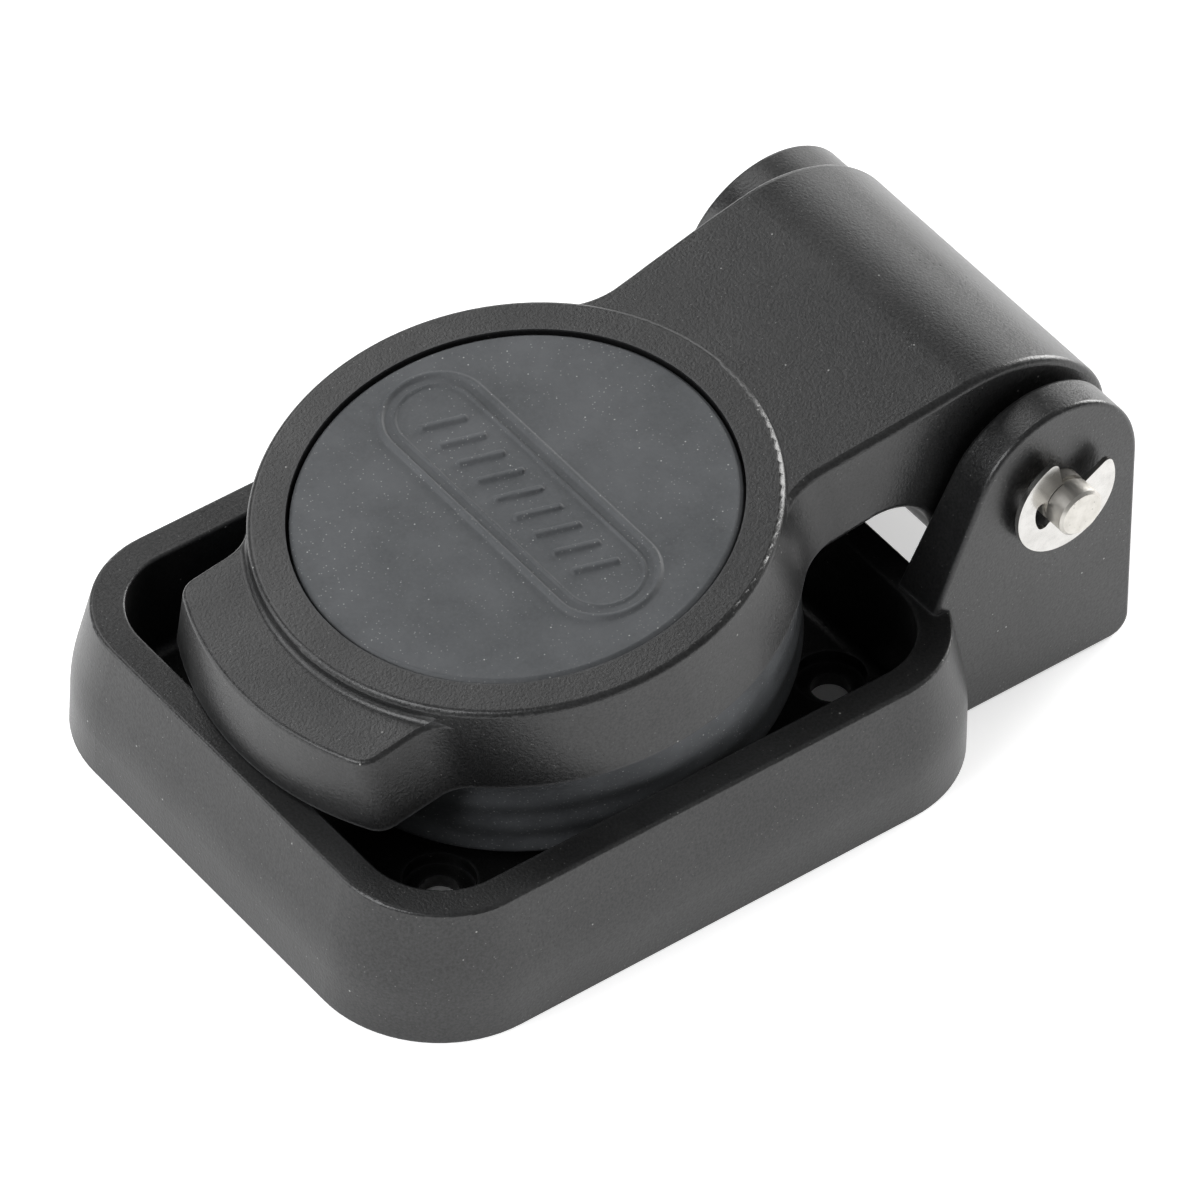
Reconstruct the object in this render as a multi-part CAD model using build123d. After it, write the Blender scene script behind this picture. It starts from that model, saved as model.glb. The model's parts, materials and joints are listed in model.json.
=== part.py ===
from build123d import *
import math
import os

# Frame: +X right, +Y to the hinge, +Z up, origin at the centre of the tray's mounting face. Millimetres.

# Cutting blocks reach this far, and joined shapes run this deep into each other
cutter = 80.0
overlap = 0.5
same_place = 0.01

# Base tray
tray_width = 78.6
tray_length = 90.6
tray_corner_r = 16.3
wall_break_height = 8.2
lower_wall_inset = 0.2
wall_break_round = 25.0
rim_height = 18.6
rim_inset = 2.5
rim_width = 4.2
rim_outer_round = 0.5
rim_inner_round = 0.4
floor_thickness = 3.6
cavity_draft = 1.0
floor_round = 1.5

# Mounting holes in the tray floor
hole_x = 17.8
hole_front_y = -24.8
hole_rear_y = 33.1
hole_r = 2.4
counterbore_r = 4.4
counterbore_depth = 1.8

# Collar round the opening, square to the closed lid
collar_outer_r = 23.0
collar_inner_r = 19.5
collar_top = 1.7
collar_round = 0.8

# Gasket groove in the mounting face
groove_margin = 2.5
groove_width = 3.4
groove_depth = 1.5
gasket_side_gap = 0.05

# Hinge ears
hinge_y = 57.3
hinge_z = 28.9
ear_r = 12.3
ear_outer_x = 29.4
ear_outer_draft = 2.2
ear_inner_x = 20.6
ear_inner_draft = 3.0
ear_front_lean = 23.7
ear_foot_y = 40.5
ear_heel_r = 2.7
ear_edge_round = 0.6
ear_head_above_rim = 1.0
ear_thin_edge = 3.0

# Lid, drawn level with its hinge axis at the local origin
lid_tilt = 9.57
disc_y = -56.5
lid_top = 18.1
lid_bottom = 6.3
cup_top_r = 31.6
cup_bottom_r = 33.0
cup_top_round = 0.8
opening_r = 27.05
cup_cavity_r = 29.0
ring_thickness = 3.5

# The edges where the tab and the arm leave the cup are at least this high and this far to a side
root_min_height = 3.0
root_min_x = 12.0

# Finger tab on the front of the lid
tab_top = 16.0
tab_top_r = 40.1
tab_bottom_r = 41.8
tab_top_half_width = 18.2
tab_bottom_half_width = 20.6
tab_corner_r = 2.8
tab_edge_round = 0.6
tab_root_r = 5.5
tab_foot_r = 0.8
tab_inner_reach = 24.0

# Arm and knuckle
arm_top = 17.2
arm_bottom = 5.2
knuckle_r = 13.4
knuckle_length = 60.0
arm_blend_angle = 30.0
arm_root_r = 8.4
arm_edge_round = 0.9
arm_side_root_r = 10.0
arm_wedge_high = 25.0
arm_wedge_low = -20.0

# Half-width of the arm along its length: (distance from the axis, half-width at the top, side draft)
arm_stations = (
    (-60.0, 17.9, 0.115),
    (-40.0, 18.9, 0.115),
    (-27.0, 19.7, 0.10),
    (-12.0, 20.8, 0.03),
    (0.0, 21.2, 0.0),
    (16.0, 21.2, 0.0),
)
thrust_face_x = 21.7
thrust_face_r = 5.4

# Hinge pin and clips
pin_r = 3.175
pin_bore_r = 3.25
pin_half_length = 33.2
pin_chamfer = 0.35
clip_thickness = 0.64
clip_outer_face_x = 30.3
clip_outer_r = 7.3
clip_groove_r = 2.67
clip_groove_width = 0.74
clip_bite_r = 2.72
clip_relief_r = 4.75
clip_relief_angle = 58.0
clip_relief_half_angle = 32.0
clip_relief_round = 0.9
clip_mouth_half_angle = 37.0
clip_turn = 67.5
clip_tip_round = 0.9

# Closing spring round the pin, in a pocket under the knuckle
spring_wire_r = 0.7
spring_mean_r = 4.9
spring_turns = 5
spring_pitch = 1.6
spring_lid_leg = 9.6
spring_foot_z = 10.5
spring_foot_y = 45.4
pocket_half_length = 7.5
pocket_r = 6.6
lid_leg_roof = 5.65
lid_leg_reach = 10.8
lid_leg_room = 5.1
foot_leg_room = 4.6
foot_leg_first_angle = 180.0
foot_leg_last_angle = 340.0

# Rubber insert in the top of the lid
insert_r = 26.4
insert_recess = 0.1
insert_flange_r = 28.9
insert_flange_thickness = 2.0
badge_x = -1.0
badge_y = 1.3
badge_half_length = 23.3
badge_half_width = 7.0
badge_line = 0.8
badge_inner_line = 0.5
badge_gap = 0.9
badge_height = 0.35
badge_rib_count = 9
badge_rib_pitch = 3.9
badge_rib_length = 5.6
badge_rib_width = 0.7
badge_rib_lean = 25.0

# Rubber closure skirt under the lid
skirt_top_r = 32.0
skirt_bottom_r = 31.4
skirt_bottom = -8.5
skirt_inner_r = 26.3
skirt_face = 2.2
skirt_round = 1.8
plug_r = 28.9
joint_gap = 0.05


def rounded_block(width, length, corner_r, z_low, z_high, inset):
    """A rounded rectangle drawn in by an inset as it rises."""
    lean = math.degrees(math.atan2(inset, z_high - z_low))
    outline = Plane.XY.offset(z_low) * RectangleRounded(width, length, corner_r)
    return extrude(outline, amount=z_high - z_low, taper=lean)


def tray_walls():
    """The drafted outer body of the tray, with the open cavity cut from the top."""
    lower = rounded_block(tray_width, tray_length, tray_corner_r, 0, wall_break_height, lower_wall_inset)
    upper = rounded_block(
        tray_width - 2 * lower_wall_inset,
        tray_length - 2 * lower_wall_inset,
        tray_corner_r - lower_wall_inset,
        wall_break_height,
        rim_height,
        rim_inset - lower_wall_inset,
    )
    body = lower + upper
    break_edges = [edge for edge in body.edges() if abs(edge.center().Z - wall_break_height) < same_place]
    body = fillet(break_edges, wall_break_round)
    body = fillet(body.faces().sort_by(Axis.Z)[-1].edges(), rim_outer_round)
    inset = rim_inset + rim_width
    mouth = RectangleRounded(tray_width - 2 * inset, tray_length - 2 * inset, tray_corner_r - inset)
    depth = rim_height - floor_thickness
    cavity = extrude(Plane.XY.offset(rim_height) * mouth, amount=-depth, taper=cavity_draft)
    cavity = fillet(cavity.faces().sort_by(Axis.Z)[0].edges(), floor_round)
    body = body - cavity
    rim_edges = body.faces().sort_by(Axis.Z)[-1].inner_wires()[0].edges()
    return fillet(rim_edges, rim_inner_round)


def ear_outline():
    """The side view of one ear: round head, leaning front edge, square foot."""
    lean = math.radians(ear_front_lean)
    touch_y = hinge_y - ear_r * math.cos(lean)
    touch_z = hinge_z + ear_r * math.sin(lean)
    sunk_z = rim_height - overlap
    rim_y = touch_y - (touch_z - sunk_z) * math.tan(lean)
    rear_y = hinge_y + ear_r
    foot = Polyline(
        (touch_y, touch_z),
        (rim_y, sunk_z),
        (ear_foot_y, sunk_z - 2 * overlap),
        (ear_foot_y, 0),
        (rear_y, 0),
        (rear_y, hinge_z),
    )
    head = ThreePointArc((rear_y, hinge_z), (hinge_y, hinge_z + ear_r), (touch_y, touch_z))
    return Plane.YZ * make_face([foot, head])


def hinge_ear():
    """The right-hand ear, thinning a little towards its head on both sides."""
    plate = Pos(ear_inner_x, 0, 0) * extrude(ear_outline(), amount=ear_outer_x - ear_inner_x)
    heel = plate.edges().filter_by(Axis.X).sort_by_distance((ear_outer_x, hinge_y + ear_r, 0))[0]
    plate = fillet(heel, ear_heel_r)
    inner_wedge = Pos(ear_inner_x, hinge_y, 0) * Rot(0, ear_inner_draft, 0) * Box(
        cutter, cutter, cutter, align=(Align.MAX, Align.CENTER, Align.MIN)
    )
    outer_wedge = Pos(ear_outer_x, hinge_y, 0) * Rot(0, -ear_outer_draft, 0) * Box(
        cutter, cutter, cutter, align=(Align.MIN, Align.CENTER, Align.MIN)
    )
    plate = plate - inner_wedge - outer_wedge
    head_edges = [edge for edge in plate.edges() if edge.center().Z > rim_height + ear_head_above_rim]
    head_edges = [edge for edge in head_edges if edge.bounding_box().size.X < ear_thin_edge]
    return fillet(head_edges, ear_edge_round)


def collar_cylinder(radius, top):
    """A cylinder on the closed lid's centre line, from below the tray up to a level under the lid."""
    cylinder = Cylinder(radius, cutter, align=(Align.CENTER, Align.CENTER, Align.MAX))
    return place_lid(Pos(0, disc_y, top) * cylinder)


def base_tray():
    """Tray, collar and the two hinge ears, moulded in one piece."""
    body = tray_walls()
    ear = hinge_ear()
    body = body + ear + mirror(ear, about=Plane.YZ)
    collar = collar_cylinder(collar_outer_r, collar_top)
    collar = fillet(collar.faces().sort_by(Axis.Z)[-1].edges(), collar_round)
    under = Box(cutter, cutter, cutter, align=(Align.CENTER, Align.CENTER, Align.MAX))
    body = body + (collar - Pos(0, 0, floor_thickness / 2) * under)
    body = body - collar_cylinder(collar_inner_r, lid_top)
    for x in (-hole_x, hole_x):
        for y in (hole_front_y, hole_rear_y):
            body = body - Pos(x, y, 0) * Cylinder(hole_r, 4 * floor_thickness)
            body = body - Pos(x, y, floor_thickness - counterbore_depth) * Cylinder(
                counterbore_r, floor_thickness, align=(Align.CENTER, Align.CENTER, Align.MIN)
            )
    body = body - extrude(gasket_outline(0), amount=groove_depth)
    bore = Pos(0, hinge_y, hinge_z) * Rot(0, 90, 0) * Cylinder(pin_bore_r, 3 * ear_outer_x)
    return body - bore


def gasket_outline(side_gap):
    """The closed loop of the gasket groove, narrowed by a gap on each side."""
    outer_inset = groove_margin + side_gap
    inner_inset = groove_margin + groove_width - side_gap
    outer = RectangleRounded(
        tray_width - 2 * outer_inset, tray_length - 2 * outer_inset, tray_corner_r - outer_inset
    )
    inner = RectangleRounded(
        tray_width - 2 * inner_inset, tray_length - 2 * inner_inset, tray_corner_r - inner_inset
    )
    return outer - inner


def base_gasket():
    """The sealing cord that fills the groove flush with the mounting face."""
    return extrude(gasket_outline(gasket_side_gap), amount=groove_depth)


def place_lid(shape):
    """Moves a shape drawn in the level lid frame to the closed position."""
    return Pos(0, hinge_y, hinge_z) * Rot(lid_tilt, 0, 0) * shape


def tab_outline(half_width, reach_r, level):
    """Plan of the finger tab: an arc round the lid's centre between two straight sides."""
    edge_y = disc_y - math.sqrt(reach_r**2 - half_width**2)
    back_y = disc_y - tab_inner_reach
    sides = Polyline((half_width, edge_y), (half_width, back_y), (-half_width, back_y), (-half_width, edge_y))
    front = ThreePointArc((-half_width, edge_y), (0, disc_y - reach_r), (half_width, edge_y))
    face = make_face([sides, front])
    face = fillet(face.vertices().sort_by(Axis.Y)[:2], tab_corner_r)
    return Pos(0, 0, level) * face


def finger_tab():
    """The lifting tab, wider at the bottom than at the top."""
    low = tab_outline(tab_bottom_half_width, tab_bottom_r, lid_bottom)
    high = tab_outline(tab_top_half_width, tab_top_r, tab_top)
    return loft([low, high])


def arm_profile():
    """Side view of the arm: flat top running over the round knuckle, and the arched underside."""
    blend = math.radians(arm_blend_angle)
    top_r = (arm_top - knuckle_r * math.sin(blend)) / (1 - math.sin(blend))
    top_centre_y = (knuckle_r - top_r) * math.cos(blend)
    top_centre_z = (knuckle_r - top_r) * math.sin(blend)
    middle = (math.pi / 2 + blend) / 2
    top_mid = (top_centre_y + top_r * math.cos(middle), top_centre_z + top_r * math.sin(middle))
    top_end = (knuckle_r * math.cos(blend), knuckle_r * math.sin(blend))
    root_centre_z = arm_bottom - arm_root_r
    root_centre_y = -math.sqrt((knuckle_r + arm_root_r) ** 2 - root_centre_z**2)
    touch = knuckle_r / (knuckle_r + arm_root_r)
    root_end = (root_centre_y * touch, root_centre_z * touch)
    root_start_angle = math.radians(90)
    root_end_angle = math.atan2(-root_centre_z, -root_centre_y)
    root_middle = (root_start_angle + root_end_angle) / 2
    root_mid = (
        root_centre_y + arm_root_r * math.cos(root_middle),
        root_centre_z + arm_root_r * math.sin(root_middle),
    )
    over = ThreePointArc((top_centre_y, arm_top), top_mid, top_end)
    round_end = ThreePointArc(top_end, (0, -knuckle_r), root_end)
    under = ThreePointArc(root_end, root_mid, (root_centre_y, arm_bottom))
    straight = Polyline(
        (root_centre_y, arm_bottom), (disc_y, arm_bottom), (disc_y, arm_top), (top_centre_y, arm_top)
    )
    return Plane.YZ * make_face([over, round_end, under, straight])


def arm_section(y, top_half, draft):
    """Cross-section of the wedge that gives the arm its draft and its flare to the knuckle."""
    high_half = top_half - draft * (arm_wedge_high - arm_top)
    low_half = top_half + draft * (arm_top - arm_wedge_low)
    corners = (
        (high_half, y, arm_wedge_high),
        (-high_half, y, arm_wedge_high),
        (-low_half, y, arm_wedge_low),
        (low_half, y, arm_wedge_low),
    )
    return make_face(Polyline(*corners, close=True))


def lid_arm():
    """Arm and knuckle with sharp edges."""
    slab = extrude(arm_profile(), amount=knuckle_length / 2, both=True)
    return slab & loft([arm_section(*station) for station in arm_stations])


def cup_radius(level):
    """Outer radius of the tapered cup wall at a level."""
    return cup_bottom_r - (cup_bottom_r - cup_top_r) * (level - lid_bottom) / (lid_top - lid_bottom)


def cup_up_to(level):
    """The tapered cup, solid, from its lower edge up to a level."""
    return Pos(0, disc_y, lid_bottom) * Cone(
        cup_bottom_r, cup_radius(level), level - lid_bottom, align=(Align.CENTER, Align.CENTER, Align.MIN)
    )


def is_root_edge(edge):
    """True for the upright edges where an arm or a tab leaves the cup wall."""
    middle = edge.center()
    from_centre = math.hypot(middle.X, middle.Y - disc_y)
    upright = edge.bounding_box().size.Z > root_min_height
    return upright and abs(middle.X) > root_min_x and cup_top_r < from_centre < cup_bottom_r


def blended_to_cup(lobe, level, root_r, edge_r):
    """Joins a lobe to the cup below its own top level, then rounds its roots and its top edge."""
    body = cup_up_to(level) + lobe
    body = fillet([edge for edge in body.edges() if is_root_edge(edge)], root_r)
    top_faces = [face for face in body.faces() if abs(face.center().Z - level) < same_place]
    top_edges = ShapeList(top_faces).edges()
    outline = [edge for edge in top_edges if edge.geom_type != GeomType.LINE]
    straight = top_edges.filter_by(GeomType.LINE)
    outline += [edge for edge in straight if edge.bounding_box().size.Y > same_place]
    return fillet(outline, edge_r)


def foot_blend(tab):
    """The small hollow blend between the cup wall and the flat top of the tab."""
    wall_r = cup_radius(tab_top)
    end_r = cup_radius(tab_top + tab_foot_r)
    centre_r = wall_r + tab_foot_r
    half_turn = tab_foot_r * math.sqrt(0.5)
    corners = Polyline(
        (end_r, tab_top + tab_foot_r),
        (wall_r - overlap, tab_top + tab_foot_r),
        (wall_r - overlap, tab_top - overlap),
        (centre_r, tab_top - overlap),
        (centre_r, tab_top),
    )
    middle = (centre_r - half_turn, tab_top + tab_foot_r - half_turn)
    hollow = ThreePointArc((centre_r, tab_top), middle, (end_r, tab_top + tab_foot_r))
    bead = Pos(0, disc_y, 0) * revolve(Plane.XZ * make_face([corners, hollow]), axis=Axis.Z)
    flat_top = tab.faces().sort_by(Axis.Z)[-1]
    over_tab = extrude(flat_top, amount=tab_foot_r, dir=(0, 0, 1))
    over_tab = over_tab + extrude(flat_top, amount=overlap, dir=(0, 0, -1))
    return bead & over_tab


def lid_shell():
    """Cup, tab and arm in one moulding, shown closed."""
    cup = cup_up_to(lid_top)
    cup = fillet(cup.faces().sort_by(Axis.Z)[-1].edges(), cup_top_round)
    tab = blended_to_cup(finger_tab(), tab_top, tab_root_r, tab_edge_round)
    arm = blended_to_cup(lid_arm(), arm_top, arm_side_root_r, arm_edge_round)
    body = cup + tab + foot_blend(tab) + arm
    body = body - Pos(0, disc_y, lid_bottom) * Cylinder(
        cup_bottom_r, knuckle_r, align=(Align.CENTER, Align.CENTER, Align.MAX)
    )
    body = body - Pos(0, disc_y, 0) * Cylinder(opening_r, 6 * lid_top)
    body = body - Pos(0, disc_y, lid_top - ring_thickness) * Cylinder(
        cup_cavity_r, 2 * lid_top, align=(Align.CENTER, Align.CENTER, Align.MAX)
    )
    body = body + Rot(0, 90, 0) * Cylinder(thrust_face_r, 2 * thrust_face_x)
    body = body - Rot(0, 90, 0) * Cylinder(pin_bore_r, 2 * knuckle_length)
    return place_lid(body - spring_pocket())


def spring_pocket():
    """Space under the knuckle for the coils, for the leg that lifts the lid's heel, and for the foot leg."""
    pocket = Rot(0, 90, 0) * Cylinder(pocket_r, 2 * pocket_half_length)
    mouth = Box(
        2 * pocket_half_length, 2 * pocket_r, 2 * knuckle_r, align=(Align.CENTER, Align.CENTER, Align.MAX)
    )
    lid_leg = Pos(pocket_half_length, 0, lid_leg_roof) * Box(
        lid_leg_room, lid_leg_reach, 3 * knuckle_r, align=(Align.MAX, Align.MIN, Align.MAX)
    )
    middle = (foot_leg_first_angle + foot_leg_last_angle) / 2
    half = (foot_leg_last_angle - foot_leg_first_angle) / 2
    foot_leg = Pos(-pocket_half_length, 0, 0) * extrude(
        Plane.YZ * sector(2 * knuckle_r, middle, half), amount=foot_leg_room
    )
    return pocket + mouth + lid_leg + foot_leg


def lid_insert():
    """Round rubber face with a raised blank panel, held under the ring by its flange."""
    top = lid_top - insert_recess
    flange_top = lid_top - ring_thickness - joint_gap
    face = Pos(0, disc_y, flange_top) * Cylinder(
        insert_r, top - flange_top, align=(Align.CENTER, Align.CENTER, Align.MIN)
    )
    flange = Pos(0, disc_y, flange_top) * Cylinder(
        insert_flange_r, insert_flange_thickness, align=(Align.CENTER, Align.CENTER, Align.MAX)
    )
    return place_lid(face + flange + Pos(badge_x, disc_y + badge_y, top) * badge())


def badge():
    """A blank slot-shaped panel: two raised border lines and a row of short leaning ribs."""
    length = 2 * badge_half_length
    height = 2 * badge_half_width
    step = 2 * (badge_line + badge_gap)
    outer = SlotOverall(length, height) - SlotOverall(length - 2 * badge_line, height - 2 * badge_line)
    inner_length = length - step
    inner_height = height - step
    thin = 2 * badge_inner_line
    inner = SlotOverall(inner_length, inner_height) - SlotOverall(inner_length - thin, inner_height - thin)
    raised = extrude(outer + inner, amount=badge_height)
    for index in range(badge_rib_count):
        x = (index - (badge_rib_count - 1) / 2) * badge_rib_pitch
        rib = SlotOverall(badge_rib_length, badge_rib_width)
        raised = raised + Pos(x, 0, 0) * Rot(0, 0, 90 - badge_rib_lean) * extrude(rib, amount=badge_height)
    return raised


def lid_seal():
    """Rubber closure: a plug inside the cup and a skirt below it that reaches into the tray."""
    plug_top = lid_top - ring_thickness - insert_flange_thickness - 2 * joint_gap
    plug = Pos(0, disc_y, lid_bottom - overlap) * Cylinder(
        plug_r, plug_top - lid_bottom + overlap, align=(Align.CENTER, Align.CENTER, Align.MIN)
    )
    skirt = Pos(0, disc_y, skirt_bottom) * Cone(
        skirt_bottom_r,
        skirt_top_r,
        lid_bottom - joint_gap - skirt_bottom,
        align=(Align.CENTER, Align.CENTER, Align.MIN),
    )
    skirt = fillet(skirt.faces().sort_by(Axis.Z)[0].edges(), skirt_round)
    hollow = Pos(0, disc_y, skirt_face) * Cylinder(
        skirt_inner_r, cutter, align=(Align.CENTER, Align.CENTER, Align.MAX)
    )
    return place_lid(plug + skirt - hollow)


def hinge_pin():
    """Plain stainless pin with a clip groove near each end."""
    pin = Rot(0, 90, 0) * Cylinder(pin_r, 2 * pin_half_length)
    pin = chamfer(pin.edges().filter_by(GeomType.CIRCLE), pin_chamfer)
    ring = Cylinder(2 * pin_r, clip_groove_width) - Cylinder(clip_groove_r, clip_groove_width)
    groove = Rot(0, 90, 0) * ring
    centre_x = clip_outer_face_x - clip_thickness / 2
    for side in (-1, 1):
        pin = pin - Pos(side * centre_x, 0, 0) * groove
    return Pos(0, hinge_y, hinge_z) * pin


def sector(radius, middle_angle, half_angle):
    """A wedge of a disc, used to cut the mouth and the reliefs of the clip."""
    start = math.radians(middle_angle - half_angle)
    end = math.radians(middle_angle + half_angle)
    middle = math.radians(middle_angle)
    first = (radius * math.cos(start), radius * math.sin(start))
    last = (radius * math.cos(end), radius * math.sin(end))
    sides = Polyline(last, (0, 0), first)
    arc = ThreePointArc(first, (radius * math.cos(middle), radius * math.sin(middle)), last)
    return make_face([sides, arc])


def corners_at(outline, radius):
    """The corners of a flat outline that lie on a circle round its centre."""
    corners = outline.vertices()
    return [corner for corner in corners if abs(math.hypot(corner.X, corner.Y) - radius) < same_place]


def clip_outline():
    """The E shape of a retaining clip with its mouth pointing along +Y."""
    ring = Circle(clip_outer_r) - Circle(clip_bite_r)
    ring = ring - sector(2 * clip_outer_r, 90, clip_mouth_half_angle)
    for side in (-1, 1):
        relief = sector(clip_relief_r, 270 + side * clip_relief_angle, clip_relief_half_angle)
        ring = ring - relief
    ring = fillet(corners_at(ring, clip_outer_r), clip_tip_round)
    return fillet(corners_at(ring, clip_relief_r), clip_relief_round)


def e_clips():
    """The two identical clips that hold the pin, one outside each ear."""
    flat = Plane.YZ * (Rot(0, 0, clip_turn - 90) * clip_outline())
    clip = extrude(flat, amount=clip_thickness)
    inner_face_x = clip_outer_face_x - clip_thickness
    right = Pos(inner_face_x, hinge_y, hinge_z) * clip
    left = Pos(-clip_outer_face_x, hinge_y, hinge_z) * clip
    return Compound(children=[right.solid(), left.solid()])


def torsion_spring():
    """Closing spring: one leg lifts the lid's heel, the other rests on the back of the tray."""
    foot_y = spring_foot_y - hinge_y
    foot_z = spring_foot_z - hinge_z
    reach = math.hypot(foot_y, foot_z)
    first = math.degrees(math.atan2(foot_z, foot_y)) + 360.0 - math.degrees(math.acos(spring_mean_r / reach))
    last = 90.0 + lid_tilt
    turned = first - last + 360.0 * spring_turns
    length = spring_pitch * turned / 360.0
    helix = Helix(pitch=spring_pitch, height=length, radius=spring_mean_r, lefthand=True)
    helix = Rot(0, 90, 0) * helix
    start = helix @ 0
    start_angle = math.degrees(math.atan2(start.Z, start.Y))
    helix = Pos(-length / 2, hinge_y, hinge_z) * Rot(first - start_angle, 0, 0) * helix
    coil_start = helix @ 0
    coil_end = helix @ 1
    foot = Vector(coil_start.X, spring_foot_y, spring_foot_z)
    tilt = math.radians(lid_tilt)
    heel = coil_end + Vector(0, math.cos(tilt), math.sin(tilt)) * spring_lid_leg
    wire = Wire([Edge.make_line(foot, coil_start), helix.edge(), Edge.make_line(coil_end, heel)])
    section = Plane(origin=foot, z_dir=(coil_start - foot).normalized()) * Circle(spring_wire_r)
    return sweep(section, path=wire)


def main():
    os.makedirs("parts", exist_ok=True)
    export_step(base_tray(), "parts/base_tray.step")
    export_step(base_gasket(), "parts/base_gasket.step")
    export_step(lid_shell(), "parts/lid_shell.step")
    export_step(lid_insert(), "parts/lid_insert.step")
    export_step(lid_seal(), "parts/lid_seal.step")
    export_step(hinge_pin(), "parts/hinge_pin.step")
    export_step(e_clips(), "parts/e_clips.step")
    export_step(torsion_spring(), "parts/torsion_spring.step")


main()
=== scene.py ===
import json
import math

import bpy
import numpy as np
from mathutils import Matrix, Vector


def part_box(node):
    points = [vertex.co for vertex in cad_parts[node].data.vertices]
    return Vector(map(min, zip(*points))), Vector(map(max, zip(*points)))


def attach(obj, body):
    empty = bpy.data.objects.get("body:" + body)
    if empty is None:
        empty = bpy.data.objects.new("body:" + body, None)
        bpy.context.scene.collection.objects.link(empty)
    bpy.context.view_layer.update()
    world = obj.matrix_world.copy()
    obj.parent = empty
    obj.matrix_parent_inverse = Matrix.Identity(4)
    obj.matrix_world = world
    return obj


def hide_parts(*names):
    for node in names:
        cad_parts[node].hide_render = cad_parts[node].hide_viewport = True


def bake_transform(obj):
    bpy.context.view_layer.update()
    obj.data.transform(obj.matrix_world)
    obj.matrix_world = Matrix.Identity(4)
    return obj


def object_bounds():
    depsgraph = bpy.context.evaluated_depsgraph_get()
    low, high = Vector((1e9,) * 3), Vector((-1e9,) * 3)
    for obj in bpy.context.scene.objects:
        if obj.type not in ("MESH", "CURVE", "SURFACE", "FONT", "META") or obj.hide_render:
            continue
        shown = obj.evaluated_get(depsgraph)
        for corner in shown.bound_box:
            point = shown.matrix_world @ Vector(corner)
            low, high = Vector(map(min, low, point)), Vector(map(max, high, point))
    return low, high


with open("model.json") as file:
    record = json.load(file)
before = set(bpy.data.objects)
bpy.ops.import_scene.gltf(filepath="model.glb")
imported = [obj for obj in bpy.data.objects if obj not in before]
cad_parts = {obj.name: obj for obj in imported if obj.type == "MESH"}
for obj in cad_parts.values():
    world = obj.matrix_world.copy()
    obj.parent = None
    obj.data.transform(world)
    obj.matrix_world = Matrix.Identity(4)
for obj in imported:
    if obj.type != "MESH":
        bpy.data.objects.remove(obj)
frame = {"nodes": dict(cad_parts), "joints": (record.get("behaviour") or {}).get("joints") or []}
cad_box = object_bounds()

MM = 0.001
NODES = frame["nodes"]
HINGE = Vector(frame["joints"][0]["pos_m"])
LID_TILT = math.radians(9.57)
LID_FRAME = Matrix.Translation(HINGE) @ Matrix.Rotation(LID_TILT, 4, "X")

# Camera: a long lens looking down on the front right corner
CAMERA_PLACE = Vector((0.7607, -0.5967, 0.9613))
CAMERA_AZIMUTH = 51.435
CAMERA_ELEVATION = 44.085
CAMERA_ROLL = 2.112
CAMERA_LENS = 344.33
CAMERA_SENSOR = 36.0
CAMERA_SHIFT = (0.01007, -0.01822)

# Soft boxes: name, direction from the object, watts, colour
LIGHT_DISTANCE = 1.0
LIGHT_SIZE = 0.5
LIGHTS = (
    ("back_low", (-0.15, 0.95, 0.3), 8.6, (1.0, 0.995, 0.985)),
    ("back_left", (-0.7, 0.65, 0.3), 1.4, (1.0, 1.0, 1.0)),
    ("front_high", (0.0, -0.75, 0.65), 4.2, (0.985, 0.99, 1.0)),
    ("front_left", (-0.6, -0.8, 0.3), 2.0, (0.985, 0.99, 1.0)),
    ("left_high", (-0.7, 0.0, 0.7), 2.0, (1.0, 1.0, 1.0)),
)

WORLD_STRENGTH = 0.2

# Floor: it gives off light outside the tray's outline, as a lit paper sweep does; between the ears the glow
# is turned down as a painted shadow of the hinge knuckle
FLOOR_HALF = 2000.0 * MM
FLOOR_LEVEL = -0.05 * MM
FLOOR_GLOW = 0.62
GLOW_EDGE = 1.5 * MM
TRAY_HALF_WIDTH = 39.3 * MM
TRAY_HALF_LENGTH = 45.3 * MM
TRAY_CORNER_R = 16.3 * MM
# Painted shadow of the hinge knuckle: the share of the floor glow left in the gap between the ears
EAR_GAP_SHADED_GLOW = 0.35
EAR_GAP_INNER = 18.0 * MM
EAR_GAP_OUTER = 26.0 * MM
EAR_GAP_DEPTH_SCALE = 1.5

# Rubber face of the lid
FACE_EDGE_ROUND = 0.5 * MM
FACE_EDGE_STEPS = 5
FACE_EDGE_DROP = 0.3015 * MM
FACE_CROWN = 0.15 * MM
FACE_SEGMENTS = 640
FACE_RINGS = 130
FACE_BELOW_PANEL = 0.35 * MM
FACE_FLANGE_REACH = 2.2 * MM
FACE_FLANGE_THICKNESS = 2.0 * MM
PANEL_REACH = 0.3 * MM
BADGE_CENTRE = (-1.0 * MM, 1.3 * MM)
BADGE_HALF_LENGTH = 23.3 * MM
BADGE_HALF_WIDTH = 7.0 * MM
BADGE_HEIGHT = 0.42 * MM
BADGE_SOFTNESS = 0.24 * MM
BADGE_LINE = 0.9 * MM
BADGE_GAP = 0.95 * MM
BADGE_THIN_LINE = 0.5 * MM
BADGE_THIN_SHARE = 0.75
RIB_COUNT = 9
RIB_PITCH = 3.7 * MM
RIB_HALF_LENGTH = 2.5 * MM
RIB_HALF_WIDTH = 0.42 * MM
RIB_LEAN = math.radians(25)

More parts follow.
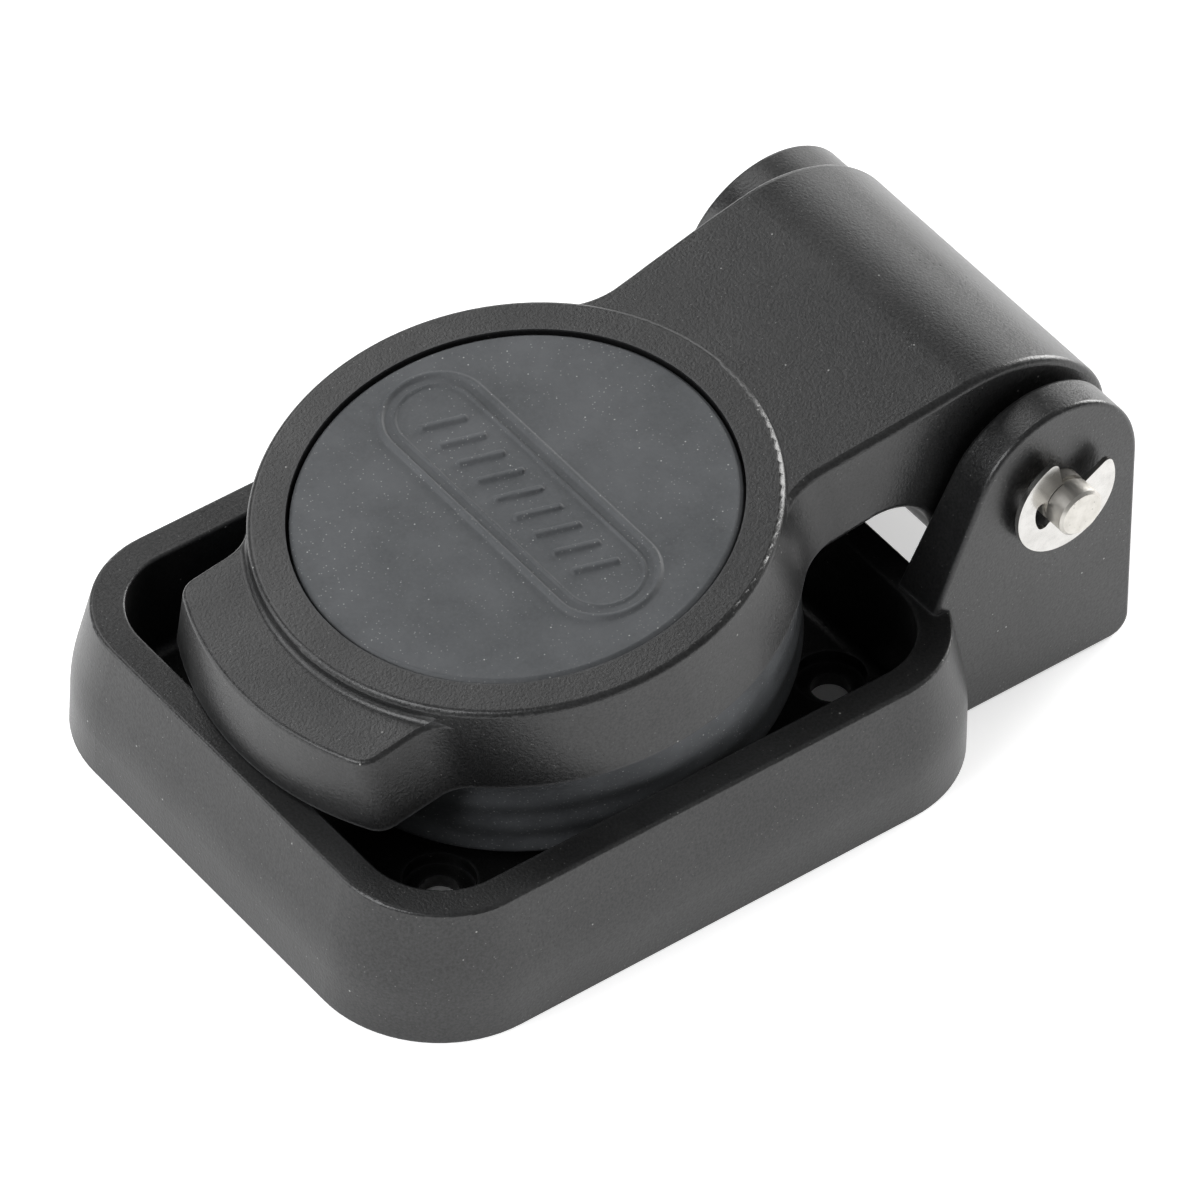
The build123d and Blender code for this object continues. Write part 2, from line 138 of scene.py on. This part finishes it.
# Skirt under the lid; levels are in the lid's own level frame
SKIRT_SEGMENTS = 256
SKIRT_FLANGE_LEVEL = 6.25 * MM
SKIRT_FLANGE_SETBACK = 0.3 * MM
SKIRT_FLANGE_EDGE = 0.4 * MM
SKIRT_PLUG_CHAMFER = 0.6 * MM
SKIRT_BORE_R = 26.3 * MM
SKIRT_BORE_TOP = 2.2 * MM
SKIRT_BORE_CHAMFER = 0.8 * MM
SKIRT_LIP_INSET = 0.6 * MM
SKIRT_BEAD = 1.3 * MM
SKIRT_BEAD_STEPS = 10
SKIRT_BORE_START = 1.5 * MM
SKIRT_ROLL_DEPTH = 0.22 * MM
SKIRT_ROLLS = 3
SKIRT_WALL_STEPS = 40

# Gasket cord
GASKET_WIDTH = 3.3 * MM
GASKET_CORNER_R = 13.75 * MM
GASKET_SIDES = 16
GASKET_SQUARENESS = 0.5

# Closing spring; SPRING_WIRE is the wire's radius
SPRING_WIRE = 0.7 * MM
SPRING_MEAN_R = 4.9 * MM
SPRING_TURNS = 5
SPRING_SIDES = 14
SPRING_FOOT_IN = 0.93
SPRING_FOOT_UP = 0.37
SPRING_FOOT_STEPS = 12
SPRING_TURN_STEPS = 48
SPRING_LEG = 9.6 * MM
SPRING_LEG_STEPS = 8

# Colours
PLASTIC_DEEP = (0.008, 0.0082, 0.0085)
PLASTIC_PALE = (0.014, 0.0143, 0.0146)
# Lighter plastic edge tone: part rubbed wear, part painted highlight of the edge roundings
PLASTIC_WEAR_AND_SHEEN = (0.11, 0.112, 0.116)
PLASTIC_FILM = (0.20, 0.20, 0.19)
PLASTIC_SPECK = (0.62, 0.62, 0.60)
RUBBER_DEEP = (0.072, 0.077, 0.082)
RUBBER_FACE = (0.132, 0.138, 0.145)
RUBBER_SKIRT = (0.150, 0.158, 0.168)
RUBBER_PORES = (0.14, 0.145, 0.15)
RUBBER_WORN = (0.12, 0.123, 0.126)
RUBBER_DUST = (0.62, 0.63, 0.62)
FOAM_DEEP = (0.010, 0.010, 0.010)
FOAM_PALE = (0.026, 0.026, 0.027)
PIN_CLEAN = (0.66, 0.64, 0.60)
PIN_STAINED = (0.52, 0.50, 0.46)
PIN_PIT = (0.14, 0.13, 0.12)
CLIP_BRIGHT = (0.64, 0.63, 0.61)
CLIP_DULL = (0.54, 0.53, 0.51)
SPRING_BRIGHT = (0.46, 0.45, 0.43)
SPRING_DULL = (0.34, 0.33, 0.315)
PAPER_DULL = (0.93, 0.93, 0.93)
PAPER_BRIGHT = (0.96, 0.96, 0.96)
WHITE = (1.0, 1.0, 1.0)


# ---------------------------------------------------------------- node helpers


class Recipe:
    """A material's node tree, with short calls for the nodes that these materials use."""

    def __init__(self, name):
        self.material = bpy.data.materials.new(name)
        self.material.use_nodes = True
        self.tree = self.material.node_tree
        self.surface = self.tree.nodes["Principled BSDF"]
        self.place = self.add("ShaderNodeTexCoord").outputs["Object"]
        self.heights = None

    def add(self, kind, **inputs):
        node = self.tree.nodes.new(kind)
        for name, value in inputs.items():
            self.feed(node.inputs[name.replace("_", " ")], value)
        return node

    def feed(self, socket, value):
        if isinstance(value, bpy.types.NodeSocket):
            self.tree.links.new(value, socket)
        elif isinstance(value, tuple) and len(value) == 3 and socket.type == "RGBA":
            socket.default_value = (*value, 1.0)
        else:
            socket.default_value = value

    def set(self, name, value):
        self.feed(self.surface.inputs[name], value)

    def stretched(self, scale, turn=(0, 0, 0)):
        """The object's own coordinates, turned and stretched."""
        return self.add("ShaderNodeMapping", Vector=self.place, Scale=scale, Rotation=turn).outputs[0]

    def noise(self, scale, detail=3.0, roughness=0.55, distortion=0.0, place=None):
        node = self.add("ShaderNodeTexNoise", Vector=place or self.place, Scale=scale, Detail=detail)
        self.feed(node.inputs["Roughness"], roughness)
        self.feed(node.inputs["Distortion"], distortion)
        return node.outputs["Fac"]

    def spots(self, scale, radius, share):
        """Small round specks: 1 inside a speck, 0 elsewhere. Share is the part of the cells that hold one."""
        node = self.add("ShaderNodeTexVoronoi", Vector=self.place, Scale=scale)
        near = self.span(node.outputs["Distance"], low=radius, high=radius * 0.4)
        picked = self.add("ShaderNodeSeparateColor", Color=node.outputs["Color"]).outputs[0]
        return self.maths("MULTIPLY", near, self.maths("LESS_THAN", picked, share))

    def span(self, value, low, high, to_low=0.0, to_high=1.0):
        """Value mapped from low..high to to_low..to_high, held at both ends."""
        node = self.add("ShaderNodeMapRange", Value=value)
        node.clamp = True
        for name, number in (("From Min", low), ("From Max", high), ("To Min", to_low), ("To Max", to_high)):
            self.feed(node.inputs[name], number)
        return node.outputs[0]

    def maths(self, operation, first, second=0.0):
        node = self.add("ShaderNodeMath")
        node.operation = operation
        self.feed(node.inputs[0], first)
        self.feed(node.inputs[1], second)
        return node.outputs[0]

    def times(self, value, factor):
        return self.maths("MULTIPLY", value, factor)

    def mix(self, share, first, second):
        node = self.add("ShaderNodeMix")
        node.data_type = "RGBA"
        self.feed(node.inputs["Factor"], share)
        self.feed(node.inputs["A"], first)
        self.feed(node.inputs["B"], second)
        return node.outputs["Result"]

    def relief(self, height, strength, distance):
        """Adds one layer of bump on top of the layers before it."""
        node = self.add("ShaderNodeBump", Height=height, Strength=strength, Distance=distance)
        if self.heights is not None:
            self.feed(node.inputs["Normal"], self.heights)
        self.heights = node.outputs[0]
        self.set("Normal", self.heights)

    def edge_mask(self, radius, samples=6):
        """1 on sharp and rounded edges, 0 on flat ground."""
        bevel = self.add("ShaderNodeBevel", Radius=radius)
        bevel.samples = samples
        plain = self.add("ShaderNodeNewGeometry").outputs["Normal"]
        likeness = self.add("ShaderNodeVectorMath")
        likeness.operation = "DOT_PRODUCT"
        self.feed(likeness.inputs[0], bevel.outputs[0])
        self.feed(likeness.inputs[1], plain)
        return self.span(likeness.outputs["Value"], low=0.995, high=0.90)

    def facing_up(self):
        """1 where the surface faces the sky."""
        normal = self.add("ShaderNodeNewGeometry").outputs["Normal"]
        height = self.add("ShaderNodeSeparateXYZ", Vector=normal).outputs["Z"]
        return self.span(height, low=0.2, high=0.95)


# ------------------------------------------------------------------- materials


def black_plastic():
    """Moulded black plastic: fine spark grain, faint flow marks, edges lightened both as rubbed wear and as a
    painted highlight, and settled dust.
    """
    r = Recipe("black_plastic")
    flow = r.noise(scale=38.0, detail=4.0, roughness=0.6, distortion=0.8)
    tone = r.mix(r.span(flow, low=0.35, high=0.7), PLASTIC_DEEP, PLASTIC_PALE)
    # Edges lightened: part rubbed wear, part painted highlight of the edge roundings
    edges = r.edge_mask(radius=0.7 * MM)
    rubbed_and_sheen = r.span(r.noise(scale=240.0, detail=3.0), low=0.3, high=0.7, to_low=0.4, to_high=1.0)
    tone = r.mix(r.times(r.maths("MULTIPLY", edges, rubbed_and_sheen), 0.5), tone, PLASTIC_WEAR_AND_SHEEN)
    settled = r.span(r.noise(scale=60.0, detail=5.0, roughness=0.65), low=0.42, high=0.72)
    tone = r.mix(r.times(r.maths("MULTIPLY", r.facing_up(), settled), 0.03), tone, PLASTIC_FILM)
    bright = r.times(r.spots(scale=520.0, radius=0.08, share=0.14), 0.6)
    faint = r.times(r.spots(scale=1400.0, radius=0.14, share=0.35), 0.2)
    specks = r.maths("MAXIMUM", bright, faint)
    r.set("Base Color", r.mix(specks, tone, PLASTIC_SPECK))
    grain = r.noise(scale=2800.0, detail=2.0, roughness=0.6)
    rough = r.span(r.noise(scale=90.0, detail=4.0), low=0.3, high=0.7, to_low=0.31, to_high=0.39)
    rough = r.maths("ADD", rough, r.span(grain, low=0.3, high=0.7, to_low=-0.05, to_high=0.05))
    r.set("Roughness", r.maths("ADD", rough, r.times(r.maths("MAXIMUM", edges, specks), 0.22)))
    r.set("Specular IOR Level", r.span(grain, low=0.3, high=0.7, to_low=0.55, to_high=0.85))
    r.relief(grain, strength=0.9, distance=0.045 * MM)
    r.relief(r.noise(scale=160.0, detail=3.0), strength=0.15, distance=0.08 * MM)
    return r.material


def dusty_rubber(name, pale, dust_share):
    """Blue-grey rubber with cloudy bloom, fine pores and dust that gathers in patches."""
    r = Recipe(name)
    cloud = r.noise(scale=110.0, detail=5.0, roughness=0.6, distortion=0.2)
    tone = r.mix(r.span(cloud, low=0.3, high=0.75), RUBBER_DEEP, pale)
    pores = r.span(r.noise(scale=1900.0, detail=4.0, roughness=0.7), low=0.40, high=0.75)
    tone = r.mix(r.times(pores, 0.35), tone, RUBBER_PORES)
    patches = r.noise(scale=55.0, detail=4.0, roughness=0.6)
    gathered = r.span(patches, low=0.42, high=0.66, to_low=0.25, to_high=1.0)
    fine = r.times(r.spots(scale=1900.0, radius=0.22, share=dust_share), 0.45)
    small = r.maths("MULTIPLY", fine, gathered)
    large = r.times(r.spots(scale=700.0, radius=0.09, share=dust_share * 0.7), 0.7)
    tone = r.mix(r.maths("MAXIMUM", small, large), tone, RUBBER_DUST)
    tone = r.mix(r.times(r.edge_mask(radius=0.35 * MM), 0.4), tone, RUBBER_WORN)
    r.set("Base Color", tone)
    r.set("Roughness", r.span(cloud, low=0.3, high=0.7, to_low=0.52, to_high=0.66))
    r.set("Specular IOR Level", 0.45)
    r.relief(r.noise(scale=1900.0, detail=3.0, roughness=0.6), strength=0.8, distance=0.045 * MM)
    r.relief(cloud, strength=0.15, distance=0.1 * MM)
    return r.material


def foam_rubber():
    """Black closed-cell cord: open pores and a dull skin."""
    r = Recipe("foam_rubber")
    cells = r.add("ShaderNodeTexVoronoi", Vector=r.place, Scale=1800.0).outputs["Distance"]
    r.set("Base Color", r.mix(r.span(cells, low=0.1, high=0.6), FOAM_DEEP, FOAM_PALE))
    r.set("Roughness", r.span(r.noise(scale=200.0), low=0.3, high=0.7, to_low=0.75, to_high=0.92))
    r.relief(cells, strength=0.6, distance=0.12 * MM)
    return r.material


def turned_steel():
    """Satin stainless rod: fine rings from turning, light scratches and a few dark pits."""
    r = Recipe("turned_steel")
    rings_place = r.stretched(scale=(9000.0, 260.0, 260.0))
    rings = r.noise(scale=1.0, detail=2.0, roughness=0.6, place=rings_place)
    scratches_place = r.stretched(scale=(500.0, 5200.0, 700.0), turn=(0.5, 0.2, 0.4))
    scratches = r.noise(scale=1.0, detail=4.0, roughness=0.7, place=scratches_place)
    stain = r.span(r.noise(scale=340.0, detail=4.0, roughness=0.7), low=0.4, high=0.75)
    tone = r.mix(stain, PIN_CLEAN, PIN_STAINED)
    pits = r.spots(scale=1300.0, radius=0.16, share=0.18)
    r.set("Base Color", r.mix(r.times(pits, 0.6), tone, PIN_PIT))
    r.set("Metallic", 1.0)
    rough = r.span(scratches, low=0.3, high=0.7, to_low=0.32, to_high=0.46)
    r.set("Roughness", r.maths("ADD", rough, r.times(stain, 0.08)))
    r.relief(rings, strength=0.25, distance=0.02 * MM)
    r.relief(scratches, strength=0.2, distance=0.015 * MM)
    return r.material


def polished_steel():
    """Stamped and tumbled stainless: bright faces and brushed hairlines."""
    r = Recipe("polished_steel")
    hairlines_place = r.stretched(scale=(600.0, 420.0, 7500.0), turn=(0.6, 0.0, 0.0))
    hairlines = r.noise(scale=1.0, detail=3.0, roughness=0.65, place=hairlines_place)
    tumble = r.noise(scale=700.0, detail=4.0, roughness=0.6)
    r.set("Base Color", r.mix(r.span(tumble, low=0.35, high=0.75), CLIP_BRIGHT, CLIP_DULL))
    r.set("Metallic", 1.0)
    r.set("Roughness", r.span(tumble, low=0.3, high=0.7, to_low=0.13, to_high=0.24))
    r.relief(hairlines, strength=0.12, distance=0.01 * MM)
    r.relief(tumble, strength=0.12, distance=0.03 * MM)
    return r.material


def spring_steel():
    """Drawn spring wire: fine die marks under a thin oil film."""
    r = Recipe("spring_steel")
    marks = r.noise(scale=2400.0, detail=3.0, roughness=0.6)
    r.set("Base Color", r.mix(r.span(marks, low=0.3, high=0.7), SPRING_BRIGHT, SPRING_DULL))
    r.set("Metallic", 1.0)
    r.set("Roughness", r.span(r.noise(scale=500.0), low=0.3, high=0.7, to_low=0.26, to_high=0.42))
    r.relief(marks, strength=0.2, distance=0.01 * MM)
    return r.material


def floor_glow(r):
    """Glow that starts at the tray's rounded outline; in the gap between the ears it is turned down as a
    painted shadow of the hinge knuckle.
    """
    sides = r.add("ShaderNodeSeparateXYZ", Vector=r.place)
    x = r.maths("ABSOLUTE", sides.outputs["X"])
    y = r.maths("ABSOLUTE", sides.outputs["Y"])
    across = r.maths("MAXIMUM", r.maths("SUBTRACT", x, TRAY_HALF_WIDTH - TRAY_CORNER_R), 0.0)
    along = r.maths("MAXIMUM", r.maths("SUBTRACT", y, TRAY_HALF_LENGTH - TRAY_CORNER_R), 0.0)
    squares = r.maths("ADD", r.maths("POWER", across, 2.0), r.maths("POWER", along, 2.0))
    outside = r.maths("SQRT", squares)
    glow = r.span(outside, TRAY_CORNER_R - GLOW_EDGE, TRAY_CORNER_R, 0.0, FLOOR_GLOW)
    # Painted shadow: the glow is turned down under the hinge knuckle, between the ears
    from_hinge = r.maths("ABSOLUTE", r.maths("SUBTRACT", sides.outputs["Y"], HINGE.y))
    from_gap = r.maths("MAXIMUM", x, r.times(from_hinge, EAR_GAP_DEPTH_SCALE))
    return r.maths("MULTIPLY", glow, r.span(from_gap, EAR_GAP_INNER, EAR_GAP_OUTER, EAR_GAP_SHADED_GLOW, 1.0))


def pale_floor():
    """White paper sweep with the faintest tooth."""
    r = Recipe("pale_floor")
    r.set("Base Color", r.mix(r.noise(scale=700.0, detail=3.0), PAPER_DULL, PAPER_BRIGHT))
    r.set("Roughness", 0.9)
    r.set("Specular IOR Level", 0.1)
    r.set("Emission Color", WHITE)
    r.set("Emission Strength", floor_glow(r))
    return r.material


# ----------------------------------------------------------------- mesh pieces


def mesh_piece(name, points, faces, material, smooth=True):
    mesh = bpy.data.meshes.new(name)
    mesh.from_pydata([tuple(p) for p in points], [], [tuple(f) for f in faces])
    mesh.validate()
    mesh.update()
    piece = bpy.data.objects.new(name, mesh)
    bpy.context.scene.collection.objects.link(piece)
    mesh.materials.append(material)
    mesh.polygons.foreach_set("use_smooth", [smooth] * len(mesh.polygons))
    return piece


def lid_box(node):
    """Lowest and highest corner of a lid node, in the level frame that the lid was drawn in."""
    inverse = LID_FRAME.inverted()
    points = np.array([inverse @ v.co for v in NODES[node].data.vertices])
    return Vector(points.min(0)), Vector(points.max(0))


def ring_faces(rows, columns, first=0):
    """Quads of a closed tube of rows by columns."""
    faces = []
    for row in range(rows - 1):
        for column in range(columns):
            here = first + row * columns
            after = (column + 1) % columns
            faces.append((here + column, here + after, here + columns + after, here + columns + column))
    return faces


def revolved(name, profile, centre, segments, material, height=None):
    """Turns a profile of (radius, level) round a lid centre. The first and last points are on the axis.

    Height is a relief for the levels within PANEL_REACH of the first point's.
    """
    angles = np.linspace(0.0, 2.0 * math.pi, segments, endpoint=False)
    points = [(centre.x, centre.y, profile[0][1] + (height(0.0, 0.0) if height else 0.0))]
    inner = profile[1:-1]
    for radius, level in inner:
        x = radius * np.cos(angles)
        y = radius * np.sin(angles)
        lift = height(x, y) if height and level >= profile[0][1] - PANEL_REACH else 0.0
        z = np.full(segments, level) + lift
        points.extend(zip(centre.x + x, centre.y + y, z))
    points.append((centre.x, centre.y, profile[-1][1]))
    faces = ring_faces(len(inner), segments, 1)
    faces = [face[::-1] for face in faces]
    last = len(points) - 1
    start = last - segments
    for column in range(segments):
        after = (column + 1) % segments
        faces.append((0, 1 + column, 1 + after))
        faces.append((last, start + after, start + column))
    placed = [LID_FRAME @ Vector(p) for p in points]
    return mesh_piece(name, placed, faces, material)


def smooth_step(value):
    value = np.clip(value, 0.0, 1.0)
    return value * value * (3.0 - 2.0 * value)


def raised_line(distance, outer, width):
    """A rounded raised line whose outer edge is at one distance and whose inner edge is a width inside it."""
    rise = smooth_step((outer - distance) / BADGE_SOFTNESS)
    fall = smooth_step((distance - (outer - width)) / BADGE_SOFTNESS)
    return np.minimum(rise, fall)


def badge_relief(x, y):
    """Height of the blank slot-shaped panel: two border lines and a row of short leaning ribs."""
    x = np.asarray(x) - BADGE_CENTRE[0]
    y = np.asarray(y) - BADGE_CENTRE[1]
    straight = BADGE_HALF_LENGTH - BADGE_HALF_WIDTH
    distance = np.hypot(np.maximum(np.abs(x) - straight, 0.0), y) - BADGE_HALF_WIDTH
    relief = raised_line(distance, 0.0, BADGE_LINE)
    thin_line = raised_line(distance, -BADGE_LINE - BADGE_GAP, BADGE_THIN_LINE)
    relief = np.maximum(relief, BADGE_THIN_SHARE * thin_line)
    direction = (math.sin(RIB_LEAN), math.cos(RIB_LEAN))
    for index in range(RIB_COUNT):
        offset = x - (index - (RIB_COUNT - 1) / 2.0) * RIB_PITCH
        along = np.clip(offset * direction[0] + y * direction[1], -RIB_HALF_LENGTH, RIB_HALF_LENGTH)
        gap = np.hypot(offset - along * direction[0], y - along * direction[1])
        rib = smooth_step((RIB_HALF_WIDTH - gap) / BADGE_SOFTNESS + 0.5)
        relief = np.maximum(relief, rib)
    return BADGE_HEIGHT * relief


def lid_face(material):
    """The lid's rubber face with its raised panel, a slight crown and a rounded rim."""
    low, high = lid_box("lid_insert")
    centre = (low + high) / 2.0
    flange_r = (high.x - low.x) / 2.0
    face_r = flange_r - FACE_FLANGE_REACH
    top = high.z - FACE_BELOW_PANEL
    flange_top = low.z + FACE_FLANGE_THICKNESS
    flat_r = face_r - FACE_EDGE_ROUND
    profile = [(0.0, top)]
    for ring in range(1, FACE_RINGS + 1):
        radius = flat_r * ring / FACE_RINGS
        profile.append((radius, top - FACE_CROWN * (radius / flat_r) ** 2))
    for step in range(1, FACE_EDGE_STEPS + 1):
        angle = math.pi / 2.0 * step / FACE_EDGE_STEPS
        drop = FACE_EDGE_DROP + FACE_EDGE_ROUND * (1.0 - math.cos(angle))
        profile.append((flat_r + FACE_EDGE_ROUND * math.sin(angle), top - drop))
    profile += [(face_r, flange_top), (flange_r, flange_top), (flange_r, low.z), (0.0, low.z)]
    return revolved("lid_face", profile, centre, FACE_SEGMENTS, material, badge_relief)


def closure_skirt(material):
    """Soft rubber skirt: a bead at the free lip, two shallow rolls and a flange under the cup."""
    low, high = lid_box("lid_seal")
    centre = (low + high) / 2.0
    plug = lid_box("lid_insert")
    plug_r = (plug[1].x - plug[0].x) / 2.0
    outer_r = (high.x - low.x) / 2.0
    lip_r = outer_r - SKIRT_LIP_INSET
    profile = [(0.0, high.z), (plug_r - SKIRT_PLUG_CHAMFER, high.z), (plug_r, high.z - SKIRT_PLUG_CHAMFER)]
    profile += [(plug_r, SKIRT_FLANGE_LEVEL), (outer_r - SKIRT_FLANGE_SETBACK, SKIRT_FLANGE_LEVEL)]
    wall_top = SKIRT_FLANGE_LEVEL - SKIRT_FLANGE_EDGE
    bead_level = low.z + SKIRT_BEAD
    for step in range(SKIRT_WALL_STEPS + 1):
        share = step / SKIRT_WALL_STEPS
        roll = SKIRT_ROLL_DEPTH * math.sin(share * SKIRT_ROLLS * math.pi) ** 2
        radius = outer_r + (lip_r - outer_r) * share - roll
        profile.append((radius, wall_top - share * (wall_top - bead_level)))
    middle_r = (lip_r + SKIRT_BORE_R) / 2.0
    half = (lip_r - SKIRT_BORE_R) / 2.0
    for step in range(1, SKIRT_BEAD_STEPS):
        angle = math.pi * step / SKIRT_BEAD_STEPS
        profile.append((middle_r + half * math.cos(angle), bead_level - SKIRT_BEAD * math.sin(angle)))
    profile += [(SKIRT_BORE_R, low.z + SKIRT_BORE_START), (SKIRT_BORE_R, SKIRT_BORE_TOP - SKIRT_BORE_CHAMFER)]
    profile += [(SKIRT_BORE_R - SKIRT_BORE_CHAMFER, SKIRT_BORE_TOP), (0.0, SKIRT_BORE_TOP)]
    return revolved("closure_skirt", profile, centre, SKIRT_SEGMENTS, material)


def rounded_loop(half_x, half_y, radius, per_corner):
    """Points of a rounded rectangle with their outward directions."""
    loop = []
    for quarter in range(4):
        sign_x = 1 if quarter in (0, 3) else -1
        sign_y = 1 if quarter in (0, 1) else -1
        for step in range(per_corner + 1):
            angle = math.pi / 2.0 * (quarter + step / per_corner)
            out = Vector((math.cos(angle), math.sin(angle)))
            corner = Vector((sign_x * (half_x - radius), sign_y * (half_y - radius)))
            loop.append((corner + out * radius, out))
    return loop


def foam_gasket(material):
    """The sealing cord in its groove: a rounded section that comes just flush with the mounting face."""
    low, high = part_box("base_gasket")
    half_width = GASKET_WIDTH / 2
    half_height = (high.z - low.z) / 2
    corner_r = GASKET_CORNER_R - half_width
    loop = rounded_loop(high.x - half_width, high.y - half_width, corner_r, GASKET_SIDES)
    section = []
    for step in range(GASKET_SIDES):
        angle = 2.0 * math.pi * step / GASKET_SIDES
        across = math.copysign(abs(math.cos(angle)) ** GASKET_SQUARENESS, math.cos(angle))
        up = math.copysign(abs(math.sin(angle)) ** GASKET_SQUARENESS, math.sin(angle))
        section.append((across * half_width, (high.z + low.z) / 2 + up * half_height))
    points = []
    for place, out in loop:
        for across, level in section:
            points.append((place.x + out.x * across, place.y + out.y * across, level))
    rows = len(loop)
    faces = []
    for row in range(rows):
        here = row * GASKET_SIDES
        beyond = (row + 1) % rows * GASKET_SIDES
        for column in range(GASKET_SIDES):
            after = (column + 1) % GASKET_SIDES
            faces.append((here + column, beyond + column, beyond + after, here + after))
    return mesh_piece("foam_gasket", points, faces, material)


def spring_path():
    """Centre line of the closing spring: foot leg, coil, and the leg that lifts the lid's heel."""
    low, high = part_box("torsion_spring")
    foot = Vector((0.0, low.y + SPRING_WIRE * SPRING_FOOT_IN, low.z + SPRING_WIRE * SPRING_FOOT_UP))
    reach = Vector((foot.y - HINGE.y, foot.z - HINGE.z))
    towards_foot = math.atan2(reach.y, reach.x) + 2.0 * math.pi
    first = towards_foot - math.acos(SPRING_MEAN_R / reach.length)
    last = math.pi / 2.0 + LID_TILT
    turned = first - last + 2.0 * math.pi * SPRING_TURNS
    left = low.x + SPRING_WIRE
    right = high.x - SPRING_WIRE
    path = []
    start_y = HINGE.y + SPRING_MEAN_R * math.cos(first)
    start_z = HINGE.z + SPRING_MEAN_R * math.sin(first)
    for step in range(SPRING_FOOT_STEPS):
        share = step / SPRING_FOOT_STEPS
        path.append(Vector((left, foot.y + (start_y - foot.y) * share, foot.z + (start_z - foot.z) * share)))
    steps = SPRING_TURN_STEPS * SPRING_TURNS
    for step in range(steps + 1):
        share = step / steps
        angle = first - turned * share
        y = HINGE.y + SPRING_MEAN_R * math.cos(angle)
        z = HINGE.z + SPRING_MEAN_R * math.sin(angle)
        path.append(Vector((left + (right - left) * share, y, z)))
    heel = Vector((0.0, math.cos(LID_TILT), math.sin(LID_TILT)))
    end = path[-1].copy()
    for step in range(1, SPRING_LEG_STEPS + 1):
        path.append(end + heel * (SPRING_LEG * step / SPRING_LEG_STEPS))
    return path, left, right


def wire_tube(name, path, radius, sides, material):
    """A round wire swept along a path by carrying one side direction along it."""
    points = []
    side = Vector((1.0, 0.0, 0.0))
    for index, place in enumerate(path):
        before = path[max(index - 1, 0)]
        after = path[min(index + 1, len(path) - 1)]
        along = (after - before).normalized()
        side = (side - along * side.dot(along)).normalized()
        other = along.cross(side)
        for step in range(sides):
            angle = 2.0 * math.pi * step / sides
            points.append(place + (side * math.cos(angle) + other * math.sin(angle)) * radius)
    faces = ring_faces(len(path), sides)
    faces.append(tuple(reversed(range(sides))))
    faces.append(tuple(range(len(points) - sides, len(points))))
    return mesh_piece(name, points, faces, material)


# ---------------------------------------------------------------- scene set-up


def finish_node(node, material):
    """Gives a CAD node its material."""
    part = NODES[node]
    part.data.materials.clear()
    part.data.materials.append(material)


def add_rubber(rubber, seal):
    face = lid_face(rubber)
    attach(face, "lid")
    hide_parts("lid_insert")
    skirt = closure_skirt(seal)
    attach(skirt, "lid")
    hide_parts("lid_seal")
    gasket = foam_gasket(foam_rubber())
    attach(gasket, "base")
    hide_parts("base_gasket")


def add_spring():
    path, left, right = spring_path()
    spring = wire_tube("closing_spring", path, SPRING_WIRE, SPRING_SIDES, spring_steel())
    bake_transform(spring)
    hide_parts("torsion_spring")


def add_floor():
    signs = ((-1, -1), (1, -1), (1, 1), (-1, 1))
    corners = [(x * FLOOR_HALF, y * FLOOR_HALF, FLOOR_LEVEL) for x, y in signs]
    floor = mesh_piece("floor", corners, [(0, 1, 2, 3)], pale_floor(), smooth=False)


def soft_light(name, place, target, power, colour):
    """A square soft box turned to a target."""
    lamp = bpy.data.lights.new(name, "AREA")
    lamp.size = LIGHT_SIZE
    lamp.energy = power
    lamp.color = colour
    holder = bpy.data.objects.new(name, lamp)
    holder.location = place
    direction = Vector(target) - Vector(place)
    holder.rotation_mode = "QUATERNION"
    holder.rotation_quaternion = direction.to_track_quat("-Z", "Y")
    bpy.context.scene.collection.objects.link(holder)


def add_lights():
    centre = (cad_box[0] + cad_box[1]) / 2.0
    for name, direction, power, colour in LIGHTS:
        place = centre + Vector(direction).normalized() * LIGHT_DISTANCE
        soft_light(name, place, centre, power, colour)
    world = bpy.data.worlds.new("studio")
    world.use_nodes = True
    background = world.node_tree.nodes["Background"]
    background.inputs["Color"].default_value = (*WHITE, 1.0)
    background.inputs["Strength"].default_value = WORLD_STRENGTH
    bpy.context.scene.world = world
    bpy.context.scene.view_settings.view_transform = "Standard"


def add_camera():
    azimuth, elevation = math.radians(CAMERA_AZIMUTH), math.radians(CAMERA_ELEVATION)
    back = Vector(
        (
            math.sin(azimuth) * math.cos(elevation),
            -math.cos(azimuth) * math.cos(elevation),
            math.sin(elevation),
        )
    )
    level = back.to_track_quat("Z", "Y").to_matrix().to_4x4()
    data = bpy.data.cameras.new("camera")
    data.lens = CAMERA_LENS
    data.sensor_width = CAMERA_SENSOR
    data.shift_x, data.shift_y = CAMERA_SHIFT
    camera = bpy.data.objects.new("camera", data)
    roll = Matrix.Rotation(math.radians(CAMERA_ROLL), 4, "Z")
    camera.matrix_world = Matrix.Translation(CAMERA_PLACE) @ level @ roll
    bpy.context.scene.collection.objects.link(camera)
    bpy.context.scene.camera = camera


plastic = black_plastic()
finish_node("base_tray", plastic)
finish_node("lid_shell", plastic)
finish_node("hinge_pin", turned_steel())
finish_node("e_clips", polished_steel())
face_rubber = dusty_rubber("face_rubber", RUBBER_FACE, dust_share=0.6)
skirt_rubber = dusty_rubber("skirt_rubber", RUBBER_SKIRT, dust_share=1.0)
add_rubber(face_rubber, skirt_rubber)
add_spring()
add_floor()
add_lights()
add_camera()
